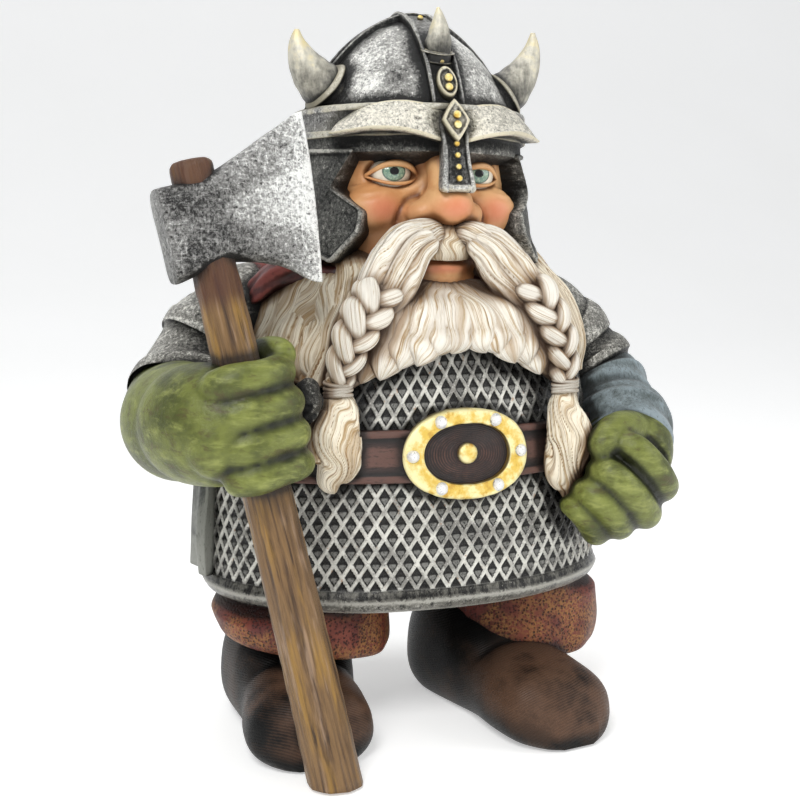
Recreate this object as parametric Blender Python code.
"""Garden gnome dressed as a northern warrior: a cast figure, and the axe that stands in its fist.

Metres, +Z up. The figure faces -Y and its right hand, with the axe, is on the -X side.
The figure is a free form, so its pose and carving are shares of its height: U is a 360th of it.
"""

from math import cos, pi, radians, sin, sqrt

import bmesh
import bpy
import numpy as np
from mathutils import Matrix, Vector

# Driving dimensions
FIGURE_HEIGHT = 0.360
HAFT_WIDTH_AT_HEAD = 0.019
HAFT_WIDTH_AT_FOOT = 0.025
HAFT_STUB = 0.011
AXE_CHEEK_THICKNESS = 0.024
AXE_EDGE_THICKNESS = 0.0045
AXE_BLADE_REACH = 0.055
AXE_POLL_REACH = 0.019
AXE_BLADE_HEIGHT = 0.084
FIST_CLEARANCE = 0.0004
BELT_WIDTH = 0.025
BELT_THICKNESS = 0.0032
BUCKLE_WIDTH = 0.058
BUCKLE_HEIGHT = 0.043
BUCKLE_THICKNESS = 0.0045

U = FIGURE_HEIGHT / 360

# The middle of the object's footprint is the origin, and the figure's own axis stands beside it
AXIS_X = 0.00871
AXIS_Y = 0.01592

for old in list(bpy.data.objects):
    bpy.data.objects.remove(old, do_unlink=True)


def material(name, colour, roughness, metallic=0.0):
    made = bpy.data.materials.new(name)
    made.use_nodes = True
    shader = made.node_tree.nodes["Principled BSDF"]
    shader.inputs["Base Color"].default_value = (*colour, 1.0)
    shader.inputs["Roughness"].default_value = roughness
    shader.inputs["Metallic"].default_value = metallic
    return made


PAINTED_RESIN = material("painted resin", (0.42, 0.40, 0.36), 0.55)
PAINTED_AXE = material("painted axe", (0.40, 0.31, 0.22), 0.5)

figure_root = bpy.data.objects.new("figure_root", None)
figure_root.location = (AXIS_X, AXIS_Y, 0)
bpy.context.scene.collection.objects.link(figure_root)
carving = bpy.data.collections.new("carving")
bpy.context.scene.collection.children.link(carving)
axe_shapes = bpy.data.collections.new("axe shapes")
bpy.context.scene.collection.children.link(axe_shapes)


def link(name, mesh, collection, finish):
    """A mesh as an object on the figure's axis, smooth but for its sharp edges."""
    mesh.shade_smooth()
    mesh.set_sharp_from_angle(angle=radians(40))
    mesh.materials.append(finish)
    made = bpy.data.objects.new(name, mesh)
    collection.objects.link(made)
    made.parent = figure_root
    return made


def helper(name, bm, collection=carving):
    """A bmesh, its faces turned outwards, kept as a hidden shape that a union takes in."""
    bmesh.ops.recalc_face_normals(bm, faces=bm.faces)
    bmesh.ops.triangulate(bm, faces=bm.faces)
    mesh = bpy.data.meshes.new(name)
    bm.to_mesh(mesh)
    bm.free()
    made = link(name, mesh, collection, PAINTED_RESIN)
    made.hide_render = True
    made.display_type = "WIRE"
    return made


def smooth_rows(rows, per_span):
    """A Catmull-Rom curve through rows of numbers, with per_span steps between two rows."""
    rows = np.array(rows, float)
    padded = np.vstack([2 * rows[0] - rows[1], rows, 2 * rows[-1] - rows[-2]])
    made = []
    for i in range(len(rows) - 1):
        p0, p1, p2, p3 = padded[i : i + 4]
        for t in np.arange(per_span) / per_span:
            made.append(
                0.5
                * (
                    2 * p1
                    + (p2 - p0) * t
                    + (2 * p0 - 5 * p1 + 4 * p2 - p3) * t**2
                    + (3 * p1 - p0 - 3 * p2 + p3) * t**3
                )
            )
    return np.array([*made, rows[-1]])


def skin(rings, name, collection=carving):
    """A closed skin through rings of points, each end filled by a fan about its middle."""
    bm = bmesh.new()
    count = len(rings[0])
    verts = [[bm.verts.new(tuple(p)) for p in ring] for ring in rings]
    for low, high in zip(verts, verts[1:]):
        for i in range(count):
            j = (i + 1) % count
            bm.faces.new((low[i], low[j], high[j], high[i]))
    for ring, points in ((verts[0], rings[0]), (verts[-1], rings[-1])):
        middle = bm.verts.new(tuple(np.mean(np.array(points, float), axis=0)))
        for i in range(count):
            bm.faces.new((ring[i], ring[(i + 1) % count], middle))
    return helper(name, bm, collection)


def oval(count, power=2.0, start=0.0):
    """Unit superellipse as an array of (cosine side, sine side)."""
    angle = start + 2 * pi * np.arange(count) / count
    c, s = np.cos(angle), np.sin(angle)
    return np.stack(
        [np.sign(c) * np.abs(c) ** (2 / power), np.sign(s) * np.abs(s) ** (2 / power)], axis=1
    )


def stacked(name, levels, count, per_span=1, power=2.0, relief=None):
    """A body of level rings. A level is (z, middle x, middle y, half width, front depth, back depth), in U."""
    rings = []
    for z, x, y, wide, front, back in smooth_rows(levels, per_span):
        unit = oval(count, power)
        deep = np.where(unit[:, 1] < 0, front, back)
        px, py = x + unit[:, 0] * wide, y + unit[:, 1] * deep
        pz = np.full(count, z)
        if relief:
            px, py, pz = relief(px, py, pz)
        rings.append(np.stack([px, py, pz], axis=1) * U)
    return skin(rings, name)


def tube(name, stations, count, per_span=3, flat=1.0, across=(1, 0, 0), power=2.0, collection=carving):
    """A limb along stations of (x, y, z, radius), in U; flat thins it at right angles to across."""
    line = smooth_rows(stations, per_span)
    centre, radius = line[:, :3], np.maximum(line[:, 3], 0.2)
    along = np.gradient(centre, axis=0)
    along /= np.linalg.norm(along, axis=1)[:, None]
    side = np.cross(np.cross(along, np.array(across, float)), along)
    side /= np.linalg.norm(side, axis=1)[:, None]
    other = np.cross(along, side)
    unit = oval(count, power)
    rings = [
        (c + r * (unit[:, :1] * s + unit[:, 1:] * flat * o)) * U
        for c, r, s, o in zip(centre, radius, side, other)
    ]
    return skin(rings, name, collection)


def ball(name, place, radii, segments=12, turn=None):
    """An ellipsoid, in U, turned by a matrix where one is given."""
    bm = bmesh.new()
    bmesh.ops.create_uvsphere(bm, u_segments=segments, v_segments=max(5, segments * 2 // 3), radius=1)
    matrix = Matrix.Translation(Vector(place) * U)
    if turn:
        matrix = matrix @ turn.to_4x4()
    matrix = matrix @ Matrix.Diagonal((*(Vector(radii) * U), 1))
    bmesh.ops.transform(bm, matrix=matrix, verts=bm.verts)
    return helper(name, bm)


def on_wall(wall, degrees, z, out=0.0):
    """A point on an upright oval wall (half width, half depth, middle y), degrees round from the front."""
    wide, deep, middle = wall
    a = radians(degrees)
    return ((wide + out) * sin(a), middle - (deep + out) * cos(a), z)


def wall_plate(name, wall, outline, inner, outer, step=7.0, flare=0.0):
    """A plate bent round an oval wall. Its outline is (degrees, z), and it runs from inner to outer."""
    head = max(z for d, z in outline)
    bm = bmesh.new()
    flat = [bm.verts.new((d, z, 0)) for d, z in outline]
    bm.faces.new(flat)
    low = min(d for d, z in outline)
    high = max(d for d, z in outline)
    for cut in np.arange(low + step, high - step / 3, step):
        geometry = [*bm.verts, *bm.edges, *bm.faces]
        bmesh.ops.bisect_plane(bm, geom=geometry, plane_co=(cut, 0, 0), plane_no=(1, 0, 0), dist=1e-5)
    bmesh.ops.triangulate(bm, faces=bm.faces)
    made = bmesh.ops.extrude_face_region(bm, geom=list(bm.faces), use_keep_orig=True)
    lifted = {v for v in made["geom"] if isinstance(v, bmesh.types.BMVert)}
    for v in bm.verts:
        out = (outer if v in lifted else inner) + flare * (head - v.co.y)
        v.co = Vector(on_wall(wall, v.co.x, v.co.y, out)) * U
    return helper(name, bm)


# The mail shirt, a bell over the belly, with the hem as its lowest rim
SHIRT = (
    (66, 0, 0, 102, 74, 67),
    (66, 0, 0, 107, 79, 72),
    (72, 0, 0, 109, 80.5, 74),
    (78, 0, 0, 107.5, 79, 73),
    (110, 0, 0, 107, 79.5, 73),
    (142, 0, 0, 104, 77.5, 70),
    (175, 0, 0, 98, 74, 66),
    (205, 0, 1, 88, 64, 60),
    (232, 0, 2, 62, 46, 46),
    (246, 0, 1, 38, 36, 36),
)
BELT_MIDDLE = 142


def shirt_section(z):
    """Half width, front depth and back depth of the shirt at a height, in U."""
    rows = np.array(sorted(SHIRT[2:]))
    return [float(np.interp(z, rows[:, 0], rows[:, i])) for i in (3, 4, 5)]


def belt():
    """The belt is a band round the belly, and stands on it by its own thickness."""
    half = BELT_WIDTH / 2 / U
    out = BELT_THICKNESS / U
    levels = []
    for z, extra in (
        (-half, -3),
        (-half, out),
        (half, out),
        (half, -3),
    ):
        wide, front, back = shirt_section(BELT_MIDDLE + z)
        levels.append((BELT_MIDDLE + z, 0, 0, wide + extra, front + extra, back + extra))
    stacked("belt", levels, 34, 1, 2.1)


def buckle():
    """The buckle is an oval ring on a plate, with six round studs and one in the middle."""
    wide, front, _ = shirt_section(BELT_MIDDLE)
    wall = (wide, front, 0)
    half_turn = math_degrees(BUCKLE_WIDTH / 2 / U / wide)
    tall = BUCKLE_HEIGHT / 2 / U
    base = BELT_THICKNESS / U

    def rim(share, count):
        return [
            (half_turn * share * c, BELT_MIDDLE + 0.8 + tall * share * s)
            for c, s in oval(count, 2.15)
        ]

    wall_plate("buckle_ring", wall, rim(1.0, 20), -2, base + BUCKLE_THICKNESS / U, 9.0)
    hollow = wall_plate("buckle_hollow", wall, rim(0.7, 16), base + 2.2, base + 12, 9.0)
    carving.objects.unlink(hollow)
    bpy.context.scene.collection.objects.link(hollow)
    ring = bpy.data.objects["buckle_ring"]
    cut = ring.modifiers.new("hollow", "BOOLEAN")
    cut.operation = "DIFFERENCE"
    cut.object = hollow
    face = base + BUCKLE_THICKNESS / U
    for i in range(6):
        a = radians(60 * i)
        place = on_wall(
            wall, half_turn * 0.86 * cos(a), BELT_MIDDLE + 0.8 + tall * 0.86 * sin(a), face
        )
        ball(f"buckle_stud_{i}", place, (3.2, 2.6, 3.2), 6)
    ball("buckle_boss", on_wall(wall, 0, BELT_MIDDLE + 0.8, base + 2.2), (5.4, 3.4, 5.4), 8)


def math_degrees(angle):
    return angle * 180 / pi


# Each leg is side, middle of the heel, turn of the toes outwards in degrees and length of the boot,
# then middle, height and lean of the trouser's cuff
LEGS = {
    "right": (-1, (-64, 24), 7, 113, -63, 40, 0.13),
    "left": (1, (34, 23), 6, 133, 60.5, 26, 0.0),
}
BOOT_OUTLINE = (
    # share of the length from the heel, half width, height of the top
    (0.00, 16, 32),
    (0.06, 28, 54),
    (0.20, 35, 62),
    (0.40, 32.5, 57),
    (0.56, 29.5, 41),
    (0.72, 31.5, 35.5),
    (0.87, 30.5, 32),
    (0.96, 22, 25),
    (1.00, 12, 16),
)


def boot(side_name):
    """A boot is rings across its length, flat below, with the ankle rising into the trouser."""
    side, heel, turn, length, _, _, _ = LEGS[side_name]
    a = radians(turn) * side
    ahead = np.array([sin(a), -cos(a), 0.0])
    across = np.array([cos(a), sin(a), 0.0])
    rings = []
    for share, half, top in BOOT_OUTLINE:
        unit = oval(14, 2.6)
        lift = np.clip((unit[:, 1] + 0.8) / 1.8, 0, 1)
        waist = 1 - 0.16 * lift**2
        middle = np.array([heel[0], heel[1], 0.0]) + ahead * length * share
        z = np.maximum(top * lift, 0)
        rings.append((middle + across * (unit[:, :1] * half * waist[:, None]) + np.array([0, 0, 1]) * z[:, None]) * U)
    skin(rings, f"boot_{side_name}")


def trouser(side_name):
    """A trouser leg puffs out over the boot and turns in at its cuff, which can lean to one side."""
    side, _, _, _, middle, cuff, lean = LEGS[side_name]

    def relief(px, py, pz):
        return px, py, pz - lean * (px - middle) * np.clip((72 - pz) / 30, 0, 1)

    stacked(
        f"trouser_{side_name}",
        (
            (cuff + 1, middle * 0.96, -14, 32, 34, 30),
            (cuff, middle * 0.97, -14, 38, 41, 35),
            (cuff + 7, middle * 0.98, -13, 44.5, 46, 39),
            (cuff + 20, middle, -11, 45.5, 46, 41),
            (72, middle, -10, 44, 45, 42),
            (82, middle, -8, 40, 42, 40),
        ),
        18,
        1,
        2.2,
        relief,
    )


# Helmet: its rim is an oval wall, and the bowl closes over it
RIM_WALL = (59, 53, -8.5)
RIM_BOTTOM, RIM_TOP, BOWL_TOP = 286, 309, 357.4
BAND_HALF_WIDTH = 7


def bowl_radius(z):
    """Share of the rim's radius that the bowl still has at a height."""
    t = min(max((z - 292) / (BOWL_TOP - 292), 0), 1)
    return max(1 - t**1.7, 0) ** (1 / 1.7)


def bowl_band(name, round_the_head, half_width, out):
    """A raised strap over the bowl, front to back or side to side."""
    wide, deep, middle = RIM_WALL
    rings = []
    for a in np.radians(np.linspace(-86, 86, 13)):
        along, rise = sin(a), cos(a)
        z = 292 + (BOWL_TOP - 292) * rise
        reach = bowl_radius(z) * (1 if along > 0 else -1)
        outward = np.array([0, along, rise * 0.9]) if round_the_head == "Y" else np.array([along, 0, rise * 0.9])
        centre = (
            np.array([0, middle + (deep - 2.5) * reach, z])
            if round_the_head == "Y"
            else np.array([(wide - 2.5) * reach, middle, z])
        )
        side = np.array([1.0, 0, 0]) if round_the_head == "Y" else np.array([0, 1.0, 0])
        outward = outward / np.linalg.norm(outward)
        rings.append(
            [
                (centre + side * half_width * s + outward * o) * U
                for s, o in ((-1, -5), (1, -5), (1, out), (0.6, out - 1.2), (-0.6, out - 1.2), (-1, out))
            ]
        )
    skin(rings, name)


def helmet():
    wide, deep, middle = RIM_WALL
    levels = [(RIM_BOTTOM - 8, 0, middle, wide - 22, deep - 22, deep - 22)]
    for t in (0.0, 0.28, 0.52, 0.72, 0.88, 0.97, 1.0):
        z = RIM_TOP - 6 + (BOWL_TOP - RIM_TOP + 6) * t
        share = max(bowl_radius(z), 0.04)
        levels.append((z, 0, middle, (wide - 2) * share, (deep - 2) * share, (deep - 2) * share))
    stacked("helmet_bowl", levels, 24)
    rim = (
        (RIM_BOTTOM, -21),
        (RIM_BOTTOM, -0.8),
        (RIM_BOTTOM + 7, -0.4),
        (RIM_BOTTOM + 8, 1.2),
        (RIM_TOP - 2, 0.8),
        (RIM_TOP, -5),
    )
    stacked("helmet_rim", [(z, 0, middle, wide + o, deep + o, deep + o) for z, o in rim], 28)
    bowl_band("helmet_crest", "Y", BAND_HALF_WIDTH, 2.6)
    bowl_band("helmet_crossband", "X", BAND_HALF_WIDTH * 0.8, 1.6)
    for side in (-1, 1):
        brow(side)
        horn(side)
        cheek_guard(side)
    nasal()
    spike()


def brow(side):
    """A brow ledge arches over each eye and runs to a point at the temple."""
    wide, deep, middle = RIM_WALL
    rings = []
    for t in np.linspace(0, 1, 8):
        degrees = side * (4 + 53 * t)
        out = 3.0 + 6.5 * min(t * 3, 1)
        top = 303 + 7.5 * sin(pi * (0.15 + 0.75 * t)) - 6 * t**3
        low = 289.5 + 4.5 * sin(pi * min(t * 1.1, 1)) + 5.0 * t**2
        if t > 0.93:
            top = low + 4
        section = ((-6, low + 1), (out * 0.8, low), (out + 1.2, low + 1.4), (out * 0.72, (low + top) / 2), (0.5, top), (-6, top - 1))
        rings.append([np.array(on_wall(RIM_WALL, degrees, z, o)) * U for o, z in section])
    skin(rings, f"helmet_brow_{'right' if side < 0 else 'left'}")


def nasal():
    """The nasal bar drops from the crest, over the bridge of the nose, and widens downwards."""
    rings = []
    for z, y, half in (
        (312, -55.5, 7.0),
        (306, -61, 8.0),
        (296, -65.5, 7.6),
        (289, -67.5, 6.8),
        (280, -69.5, 7.0),
        (272, -71.2, 8.3),
        (267.5, -71.8, 8.6),
    ):
        lean = 0.22
        rings.append(
            [
                np.array([half * s, y + d, z + d * lean]) * U
                for s, d in ((-1, 7), (1, 7), (1, 0.6), (0.7, -0.5), (-0.7, -0.5), (-1, 0.6))
            ]
        )
    skin(rings, "helmet_nasal")
    for i, z in enumerate((273, 278.5, 284, 289.5)):
        ball(f"nasal_stud_{i}", (0, -71.4 + (z - 273) * 0.22, z), (2.0, 1.7, 2.0), 5)
    diamond("nasal_diamond", (0, -68.6, 299.5), (6.4, 2.6, 8.5))
    diamond("crest_diamond", (0, -56.0, 318), (5.0, 2.8, 8.0))


def diamond(name, place, radii):
    """A lozenge boss with a raised middle."""
    bm = bmesh.new()
    bmesh.ops.create_uvsphere(bm, u_segments=4, v_segments=2, radius=1)
    matrix = Matrix.Translation(Vector(place) * U) @ Matrix.Rotation(pi / 2, 4, "X")
    bmesh.ops.transform(
        bm,
        matrix=matrix @ Matrix.Diagonal((radii[0] * U, radii[2] * U, radii[1] * U, 1)),
        verts=bm.verts,
    )
    helper(name, bm)


HORN = (
    # x, y, z and radius for the horn on the +X side; the other one is as much lower as HORN_DROP says
    (38, -16, 313, 12.0),
    (46, -17.5, 318, 12.0),
    (54, -19, 325, 10.8),
    (60.5, -20.5, 334, 8.0),
    (64, -21.5, 344, 4.6),
    (64.5, -22, 353, 1.2),
)
HORN_DROP = (0.0, 0.5, 1.5, 3.0, 5.0, 7.0)


def horn(side):
    """A curved horn stands in a collar on the side of the bowl."""
    name = "right" if side < 0 else "left"
    drop = HORN_DROP if side < 0 else [0.0] * len(HORN)
    line = [(side * x, y, z - d, r) for (x, y, z, r), d in zip(HORN, drop)]
    tube(f"horn_{name}", line, 12, 1, across=(0, 1, 0))
    tube(
        f"horn_collar_{name}",
        [(side * 35, -15.5, 310.5, 13.4), (side * 46.5, -17.5, 318.0, 13.0)],
        12,
        1,
        across=(0, 1, 0),
    )


def spike():
    """A short horn stands on the front of the crest."""
    tube(
        "crest_spike",
        [(0, -43, 331, 7.0), (0, -45.5, 337, 6.8), (0, -47, 345, 5.2), (0, -46.5, 352, 2.8), (0, -45.5, 356.5, 0.8)],
        8,
        1,
    )
    tube("crest_spike_collar", [(0, -41, 329, 8.2), (0, -44.5, 337, 8.4)], 8, 1)


GUARD_WALL = (57, 52, -8.5)
GUARD = ((47, 288), (59, 269.5), (41, 258), (42, 247.5), (55, 232.5), (77, 243), (84, 260), (84, 290))


def cheek_guard(side):
    """A cheek guard hangs from the rim, notched behind the eye, with a raised border."""
    name = "right" if side < 0 else "left"
    outline = [(side * d, z) for d, z in GUARD]
    wall_plate(f"cheek_guard_{name}", GUARD_WALL, outline, -15, 2.2, 12.0, 0.16)
    middle = np.array([(60.5, 257.0)])
    inner = middle + (np.array([p for p in GUARD if p[1] < 280]) - middle) * 0.72
    hollow = wall_plate(
        f"cheek_guard_hollow_{name}", GUARD_WALL, [(side * d, z) for d, z in inner], 3.3, 9, 12.0, 0.16
    )
    carving.objects.unlink(hollow)
    bpy.context.scene.collection.objects.link(hollow)
    cut = bpy.data.objects[f"cheek_guard_{name}"].modifiers.new("hollow", "BOOLEAN")
    cut.operation = "DIFFERENCE"
    cut.object = hollow


# Face: an oval front with a round nose, cheeks and brow, seen between helmet and beard
def face():
    """An oval head, with round balls for the nose, its wings, the cheeks and the lower lip."""
    levels = [
        (222, 0, -6, 38, 36, 30),
        (232, 0, -7, 46, 44, 38),
        (243, 0, -7, 50, 44.5, 42),
        (256, 0, -7, 52, 43.5, 43),
        (268, 0, -7, 52, 41.5, 47),
        (280, 0, -7.5, 53, 42, 50),
        (292, 0, -8, 53, 44, 50),
    ]
    stacked("face", levels, 22, 1, 2.15)
    ball("nose", (0, -57, 261), (12.5, 14, 11), 12)
    tube("nose_bridge", [(0, -50, 288, 7), (0, -54, 274, 8), (0, -57, 264, 9)], 10, 1)
    for side in (-1, 1):
        name = "right" if side < 0 else "left"
        ball(f"nostril_{name}", (side * 12.5, -54.4, 257.6), (8, 8.5, 7), 8)
        ball(f"cheek_{name}", (side * 29, -39, 259), (15, 12, 11), 10)
    lip = [(-16, -47, 233, 2), (-8, -51, 229.5, 4), (8, -51, 229.5, 4), (16, -47, 233, 2)]
    tube("lower_lip", lip, 6, 1, across=(0, 0, 1))


def eyes():
    for side in (-1, 1):
        name = "right" if side < 0 else "left"
        ball(f"eyeball_{name}", (side * 22.5, -36, 277), (10.5, 10.5, 8), 10)
        arch = ((10.5, -43, 276, 1.6), (17, -46.5, 282, 2.4), (25, -44.5, 282.5, 2.4), (34, -37, 276, 1.6))
        tube(f"eyelid_{name}", [(side * x, y, z, r) for x, y, z, r in arch], 6, 1, across=(0, 1, 0))


# Hair and beard: a wide mass of locks from the cheek guards down over the chest, parted at the middle
def beard():
    """Locks fall from under the nose and the helmet, widen over the shoulders and part at the middle."""
    heights = (180, 192, 205, 220, 235, 248, 262, 292)
    wide_at = (95, 96, 93, 89, 82, 71, 59, 51)
    fore_at = (84, 85, 82, 75, 64, 53, 47, 45)
    aft_at = (72, 72, 71, 66, 58, 51, 48, 46)
    count = 54
    angle = 2 * pi * np.arange(count) / count
    front = np.clip(-np.cos(angle), 0, 1)
    back = np.clip(np.cos(angle), 0, 1)
    across = np.abs(np.sin(angle)) * 95
    hem = 195 - 21 * np.clip(across / 58, 0, 1) ** 1.15 + 3 * np.clip((across - 60) / 30, 0, 1)
    hem = hem + 36 * back**0.7
    chin = np.exp(-((np.sin(angle) * 95 / 22) ** 4)) * (front > 0)
    top = 288 - 51 * np.clip(front * 1.5, 0, 1) ** 1.2 - 13 * chin
    rings = []
    for share in (0.0, 0.12, 0.26, 0.42, 0.58, 0.74, 0.88, 0.985, 1.0):
        z = top + (hem - top) * share
        wide = np.interp(z, heights, wide_at)
        deep = np.where(front > 0, np.interp(z, heights, fore_at), np.interp(z, heights, aft_at))
        deep = deep - chin * np.clip((z - 202) / 22, 0, 1) * (deep - 57)
        locks = np.cos(angle * 18) * 2.4 + np.cos(angle * 7 + 0.05 * z) * 1.5
        parting = 5.5 * np.exp(-((np.sin(angle) * 12) ** 2)) * (front > 0)
        swell = (locks - parting) * np.clip((262 - z) / 40, 0, 1)
        tuck = 9 if share == 1.0 else 0
        px = (wide + swell - tuck) * np.sin(angle)
        py = (deep + swell - tuck) * np.cos(angle)
        rings.append(np.stack([px, py, z], axis=1) * U)
    skin(rings, "beard")


def moustache(side):
    """Half of the moustache sweeps from under the nose to the top of its braid."""
    name = "right" if side < 0 else "left"
    line = (
        (-3, -60, 246, 6),
        (9, -63, 246.5, 8),
        (20, -64, 244, 10.5),
        (29, -63, 236, 12.5),
        (36, -63.5, 226, 13),
        (42, -67, 216, 12),
        (47, -70, 207, 8),
    )
    tube(f"moustache_{name}", [(side * x, y, z, r) for x, y, z, r in line], 10, 1, 0.8, (side, 0, 1))


BRAIDS = {
    # x, y, z and radius of each plait down to its tie, then the length of its tail
    "right": ((-38, -70, 228, 10.5), (-50, -74, 212, 11), (-57.5, -75, 195, 9.6), (-62, -72, 177, 7.2), 50),
    "left": ((36, -70, 229, 10.5), (45, -74, 213, 11), (51.5, -76, 194, 9.6), (55.5, -75.5, 175, 7.2), 60),
}


def braid(side):
    """A plait of bulging strands, then a tie, then a loose tail."""
    name = "right" if side < 0 else "left"
    *plait, length = BRAIDS[name]
    line = smooth_rows(plait, 5)
    down = np.gradient(line[:, :3], axis=0)
    down /= np.linalg.norm(down, axis=1)[:, None]
    across = np.cross(down, (0, 1, 0))
    across /= np.linalg.norm(across, axis=1)[:, None]
    ahead = np.cross(across, down)
    rings = []
    unit = oval(12)
    for i, (row, a, f) in enumerate(zip(line, across, ahead)):
        turn = 2 * pi * i / 4
        swell = 1 + 0.17 * np.where(unit[:, 0] > 0, np.cos(turn), -np.cos(turn)) * np.abs(unit[:, 0]) ** 0.3
        rings.append((row[:3] + row[3] * swell[:, None] * (unit[:, :1] * a + unit[:, 1:] * 0.8 * f)) * U)
    skin(rings, f"plait_{name}")
    x, y, z, _ = plait[-1]
    # across, forwards, share of the length down, radius
    tail = (
        (0, 1, -0.12, 5.5),
        (0.5, 0, 0.08, 6.0),
        (1, -1, 0.26, 9.0),
        (2.5, -1.5, 0.54, 12.5),
        (2.5, -1, 0.78, 10.0),
        (2, 0, 1, 3.0),
    )
    stations = [(x + side * a, y + b, z - length * c, r) for a, b, c, r in tail]
    tube(f"braid_tail_{name}", stations, 12, 1, 0.62)
    tie = [(x, y, z + 2, 7.4), (x + side * 0.7, y - 0.5, z - 6, 7.4)]
    tube(f"braid_tie_{name}", tie, 10, 1)


# Arms: each is stations of (x, y, z, radius), from the shoulder to the cuff of the glove
RIGHT_ARM = (
    (-60, 6, 206, 24),
    (-80, 5, 206, 28),
    (-94, 2, 196, 29),
    (-97, 1, 193, 32),
    (-101.5, -1, 187, 32),
    (-104, -2, 184, 29.5),
    (-113, -9, 174, 28.5),
    (-115.5, -12, 170, 31.5),
    (-120, -17, 163, 31.5),
    (-121.5, -19, 162, 26),
    (-123, -28, 159, 25),
)
LEFT_ARM = (
    (62, 6, 202, 24),
    (80, 5, 202, 28),
    (91, 3, 193, 28.5),
    (94, 2, 190, 31),
    (98, 0, 184, 30.5),
    (100, -1, 181, 28.5),
    (106.5, -5, 172, 27.5),
    (108.5, -7, 168, 29.5),
    (112, -11, 160, 29.5),
    (113, -13, 158, 25),
    (115, -22, 150, 24),
)
RIGHT_GAUNTLET = (
    (-122, -12, 162, 26.5),
    (-126, -28, 159.5, 28),
    (-128.5, -46, 160, 28),
    (-126.5, -64, 163, 25),
    (-119, -82, 166, 22.5),
)
LEFT_GAUNTLET = ((114, -14, 156, 24.5), (113, -32, 147, 25.5), (109, -50, 137, 24.5), (101, -66, 129, 21))


def arms():
    tube("right_arm", RIGHT_ARM, 16, 1, across=(0, 1, 0))
    tube("left_arm", LEFT_ARM, 16, 1, across=(0, 1, 0))
    ball("sleeve_fold", (-108, -27, 178), (12, 8, 9), 8)
    tube("right_gauntlet", RIGHT_GAUNTLET, 16, 1, across=(0, 0, 1))
    tube("left_gauntlet", LEFT_GAUNTLET, 14, 1, across=(1, 0, 0))


# The axe stands on its foot and leans back through the fist
HAFT_FOOT = Vector((-74.5, -103, 0)) * U
HAFT_TOP = Vector((-130, -76, 277)) * U
HAFT_DIRECTION = (HAFT_TOP - HAFT_FOOT).normalized()
AXE_HEAD_SHARE = 0.877


def haft_point(share):
    return HAFT_FOOT + (HAFT_TOP - HAFT_FOOT) * share


def haft_radius(share):
    return (HAFT_WIDTH_AT_FOOT + (HAFT_WIDTH_AT_HEAD - HAFT_WIDTH_AT_FOOT) * share) / 2


def haft_rings(grow, low, high, count=14):
    """Rings of the round haft. The lowest ring is cut level, so that the foot stands flat."""
    side = Vector((0, 1, 0)).cross(HAFT_DIRECTION).normalized()
    other = HAFT_DIRECTION.cross(side)
    rings = []
    for share in (low, *np.linspace(max(low, 0) + 0.1, high - 0.012, 6), high):
        r = float(haft_radius(share) + grow)
        if share == high and grow == 0:
            r *= 0.82
        middle = haft_point(float(share))
        ring = [middle + (side * c + other * s) * r for c, s in oval(count).tolist()]
        if share == low and grow == 0:
            ring = [p - HAFT_DIRECTION * (p.z / HAFT_DIRECTION.z) for p in ring]
        rings.append(ring)
    return rings


def blade_frame():
    """Directions of the axe head: along the blade, through its thickness, and up the haft."""
    up = HAFT_DIRECTION
    ahead = (Vector((1, 0, 0)) - up * up.x).normalized()
    through = up.cross(ahead)
    return ahead, through, up


def axe_head():
    """The head is slices from the poll to the cutting edge, thick at the eye and thin at the edge."""
    ahead, through, up = blade_frame()
    eye = haft_point(AXE_HEAD_SHARE)
    reach, poll, tall = AXE_BLADE_REACH, AXE_POLL_REACH, AXE_BLADE_HEIGHT
    cheek, edge = AXE_CHEEK_THICKNESS, AXE_EDGE_THICKNESS
    slices = (
        # place along the blade, lower end, upper end, thickness; the edge bows back at its toe
        (-poll, -0.168 * tall, 0.285 * tall, cheek * 0.80),
        (-poll * 0.86, -0.190 * tall, 0.300 * tall, cheek * 0.96),
        (-poll * 0.20, -0.158 * tall, 0.310 * tall, cheek),
        (reach * 0.15, -0.135 * tall, 0.338 * tall, cheek * 0.98),
        (reach * 0.36, -0.165 * tall, 0.395 * tall, cheek * 0.78),
        (reach * 0.58, -0.215 * tall, 0.460 * tall, cheek * 0.55),
        (reach * 0.80, -0.290 * tall, 0.525 * tall, cheek * 0.36),
    )
    rings = []
    shares = np.linspace(0, 1, 6)
    for place, low, high, thick in slices:
        side = [(place, low + (high - low) * t, thick / 2) for t in shares]
        rings.append(side)
    bow = [0.85, 0.89, 0.93, 0.96, 0.985, 1.0]
    low, high = -0.335 * tall, 0.57 * tall
    rings.append([(reach * b, low + (high - low) * t, edge / 2) for b, t in zip(bow, shares)])
    skin(
        [
            [eye + ahead * float(s) + up * float(h) + through * w for s, h, w in ring]
            + [eye + ahead * float(s) + up * float(h) - through * w for s, h, w in reversed(ring)]
            for ring in rings
        ],
        "axe_head",
        axe_shapes,
    )


def axe():
    stub = HAFT_STUB / (HAFT_TOP - HAFT_FOOT).length
    top = AXE_HEAD_SHARE + 0.31 * AXE_BLADE_HEIGHT / (HAFT_TOP - HAFT_FOOT).length + stub
    skin(haft_rings(0, 0, top), "haft", axe_shapes)
    axe_head()
    union("axe", axe_shapes, PAINTED_AXE)


def fist_hole():
    """The space that the haft passes through, with its clearance."""
    hole = skin(haft_rings(FIST_CLEARANCE, -0.02, 0.84), "fist_hole")
    carving.objects.unlink(hole)
    bpy.context.scene.collection.objects.link(hole)
    return hole


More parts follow.
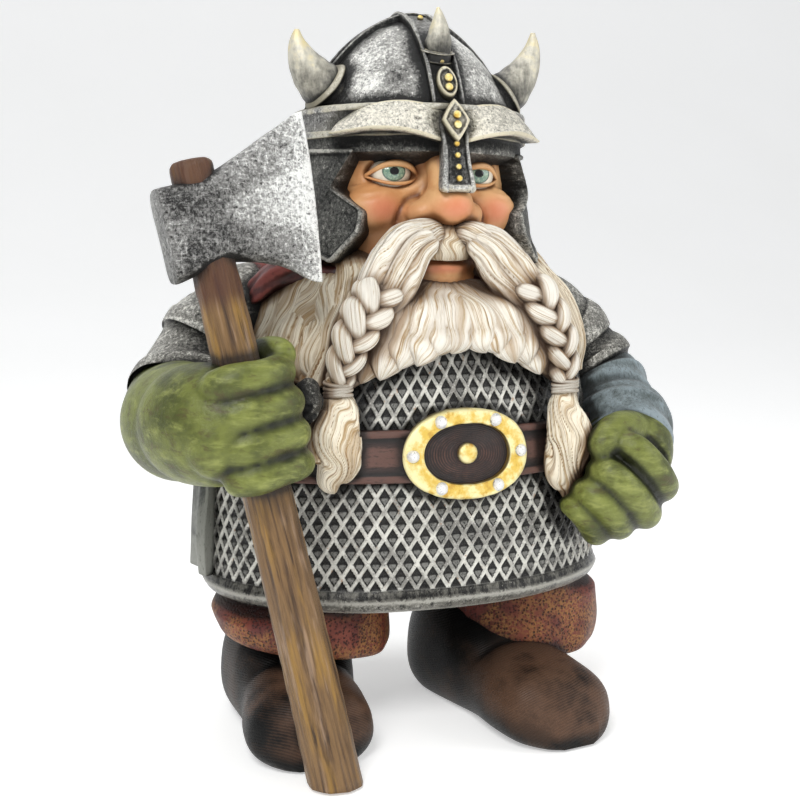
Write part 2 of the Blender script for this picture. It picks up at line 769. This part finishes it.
def right_hand():
    """Four fingers lie across the haft and curl behind it, and the thumb closes over the first."""
    ahead = (haft_point(1) - haft_point(0)).normalized()
    grip = 0.585
    inward = (Vector((1, 0, 0)) - ahead * ahead.x).normalized()
    front = ahead.cross(inward).normalized()
    if front.y > 0:
        front = -front
    centre = haft_point(grip)
    around = haft_radius(grip) / U

    def at(along, degrees, reach):
        a = radians(degrees)
        return tuple((centre + (ahead * along + (inward * sin(a) + front * cos(a)) * reach) * U) / U)

    palm = [
        (*at(-2, -95, around + 11), 21),
        (*at(-1, -62, around + 8), 22.5),
        (*at(-1, -30, around + 5), 18),
    ]
    tube("right_palm", palm, 12, 1, across=tuple(ahead), power=2.3)
    for i, (lift, thick, reach) in enumerate(((20.5, 8.2, 0), (6.8, 8.6, 1), (-7.0, 8.4, 0.6), (-20.4, 7.6, -0.6))):
        stations = [
            (*at(lift * 0.93, -62, around + 12 + reach), thick * 1.05),
            (*at(lift, -25, around + 8 + reach), thick * 1.12),
            (*at(lift, 12, around + 6 + reach), thick * 0.98),
            (*at(lift, 48, around + 6 + reach), thick * 1.0),
            (*at(lift, 84, around + 6), thick * 0.98),
            (*at(lift, 125, around + 5), thick * 0.8),
        ]
        tube(f"right_finger_{i}", stations, 9, 1, across=tuple(ahead))
    thumb = [
        (*at(17, 200, around + 9), 9.5),
        (*at(24, 165, around + 8), 9),
        (*at(28, 128, around + 8), 8.4),
        (*at(28, 98, around + 9), 7.8),
        (*at(24, 74, around + 11), 6.0),
    ]
    tube("right_thumb", thumb, 8, 1, across=tuple(ahead))
    tube(
        "right_heel_of_hand",
        [(*at(2, 235, around + 9), 17), (*at(4, 205, around + 8), 17), (*at(4, 178, around + 6), 13)],
        10,
        1,
        across=tuple(ahead),
    )


def left_hand():
    """The left hand is a closed fist, with four rolled fingers and the thumb folded over them."""
    ball("left_fist", (90, -74, 123.5), (23.5, 19, 23.5), 12)
    fingers = (
        ((116, -66, 124.5, 8.4), (108, -85, 120.5, 8.8), (96, -94, 131.5, 8.4), (84, -93, 142.5, 7.8), (80, -78, 141.5, 6)),
        ((107, -68, 110.5, 8.4), (97, -87, 107.5, 8.6), (83, -96, 119.5, 8.4), (71, -95, 130.5, 7.6), (69, -80, 129.5, 6)),
        ((93, -68, 104.5, 8), (83, -85, 102.5, 8.2), (72, -93, 112.5, 7.8), (63, -91, 120.5, 7), (63, -77, 120.5, 5.6)),
        ((82, -66, 101.5, 7.4), (73, -80, 98.5, 7.4), (64.5, -86, 106.5, 7), (58, -84, 112.5, 6), (60, -72, 112.5, 5)),
    )
    for i, line in enumerate(fingers):
        tube(f"left_finger_{i}", line, 8, 1)
    tube(
        "left_thumb",
        ((108, -58, 143.5, 11), (96, -70, 147.5, 10.5), (83, -80, 148.5, 9.4), (72, -87, 144.5, 8.4), (65, -90, 138.5, 6)),
        8,
        1,
    )


def cloak():
    """A short cloak hangs down the back in broad folds, its edges showing past the hips."""
    rings = []
    share = np.linspace(-1, 1, 25)
    angle = share * radians(100)
    for z, wide, deep, wave in (
        (236, 60, 44, 0.0),
        (212, 88, 62, 0.8),
        (180, 101, 71, 1.6),
        (130, 107, 76, 2.6),
        (76, 111, 79, 4.0),
    ):
        out = np.cos(share * 8 * pi) * wave
        outer = np.stack([(wide + out) * np.sin(angle), 2 + (deep + out) * np.cos(angle)], axis=1)
        inner = np.stack([(wide - 12) * np.array([1, 0, -1]), np.array([-8, -10, -8])], axis=1)
        flat = np.vstack([outer, inner])
        rings.append(np.column_stack([flat, np.full(len(flat), z)]) * U)
    skin(rings, "cloak")


def collar():
    """A rolled scarf lies round the neck under the beard."""
    bm = bmesh.new()
    wide, deep, z, thick = 72, 50, 226, 13
    rings = []
    for a in np.radians(np.arange(0, 360, 20)):
        out = np.array([cos(a) * 1.0, sin(a), 0])
        middle = np.array([wide * cos(a), 6 + deep * sin(a), z + 4 * sin(a)])
        rings.append([middle + (out * c + np.array([0, 0, 1]) * s) * thick for c, s in oval(6)])
    verts = [[bm.verts.new(tuple(p * U)) for p in ring] for ring in rings]
    for i, ring in enumerate(verts):
        after = verts[(i + 1) % len(verts)]
        for j in range(len(ring)):
            k = (j + 1) % len(ring)
            bm.faces.new((ring[j], ring[k], after[k], after[j]))
    helper("collar", bm)


def union(name, collection, finish, faces_kept=1.0):
    """One solid of every shape in a collection."""
    first = collection.objects[0]
    base = link(name, first.data.copy(), bpy.context.scene.collection, finish)
    for modifier in first.modifiers:
        cut = base.modifiers.new(modifier.name, "BOOLEAN")
        cut.operation, cut.object = modifier.operation, modifier.object
    collection.objects.unlink(first)
    bpy.context.scene.collection.objects.link(first)
    join = base.modifiers.new("joined", "BOOLEAN")
    join.operation = "UNION"
    join.operand_type = "COLLECTION"
    join.collection = collection
    join.solver = "EXACT"
    if faces_kept < 1:
        thin = base.modifiers.new("fewer faces", "DECIMATE")
        thin.ratio = faces_kept
    return base


def figure():
    stacked("mail_shirt", SHIRT, 34, 1, 2.1)
    belt()
    buckle()
    for side_name in LEGS:
        boot(side_name)
        trouser(side_name)
    cloak()
    collar()
    arms()
    left_hand()
    right_hand()
    face()
    eyes()
    beard()
    for side in (-1, 1):
        moustache(side)
        braid(side)
    helmet()
    made = union("gnome_figure", carving, PAINTED_RESIN, 0.6)
    hole = made.modifiers.new("fist hole", "BOOLEAN")
    hole.operation = "DIFFERENCE"
    hole.object = fist_hole()


figure()
axe()
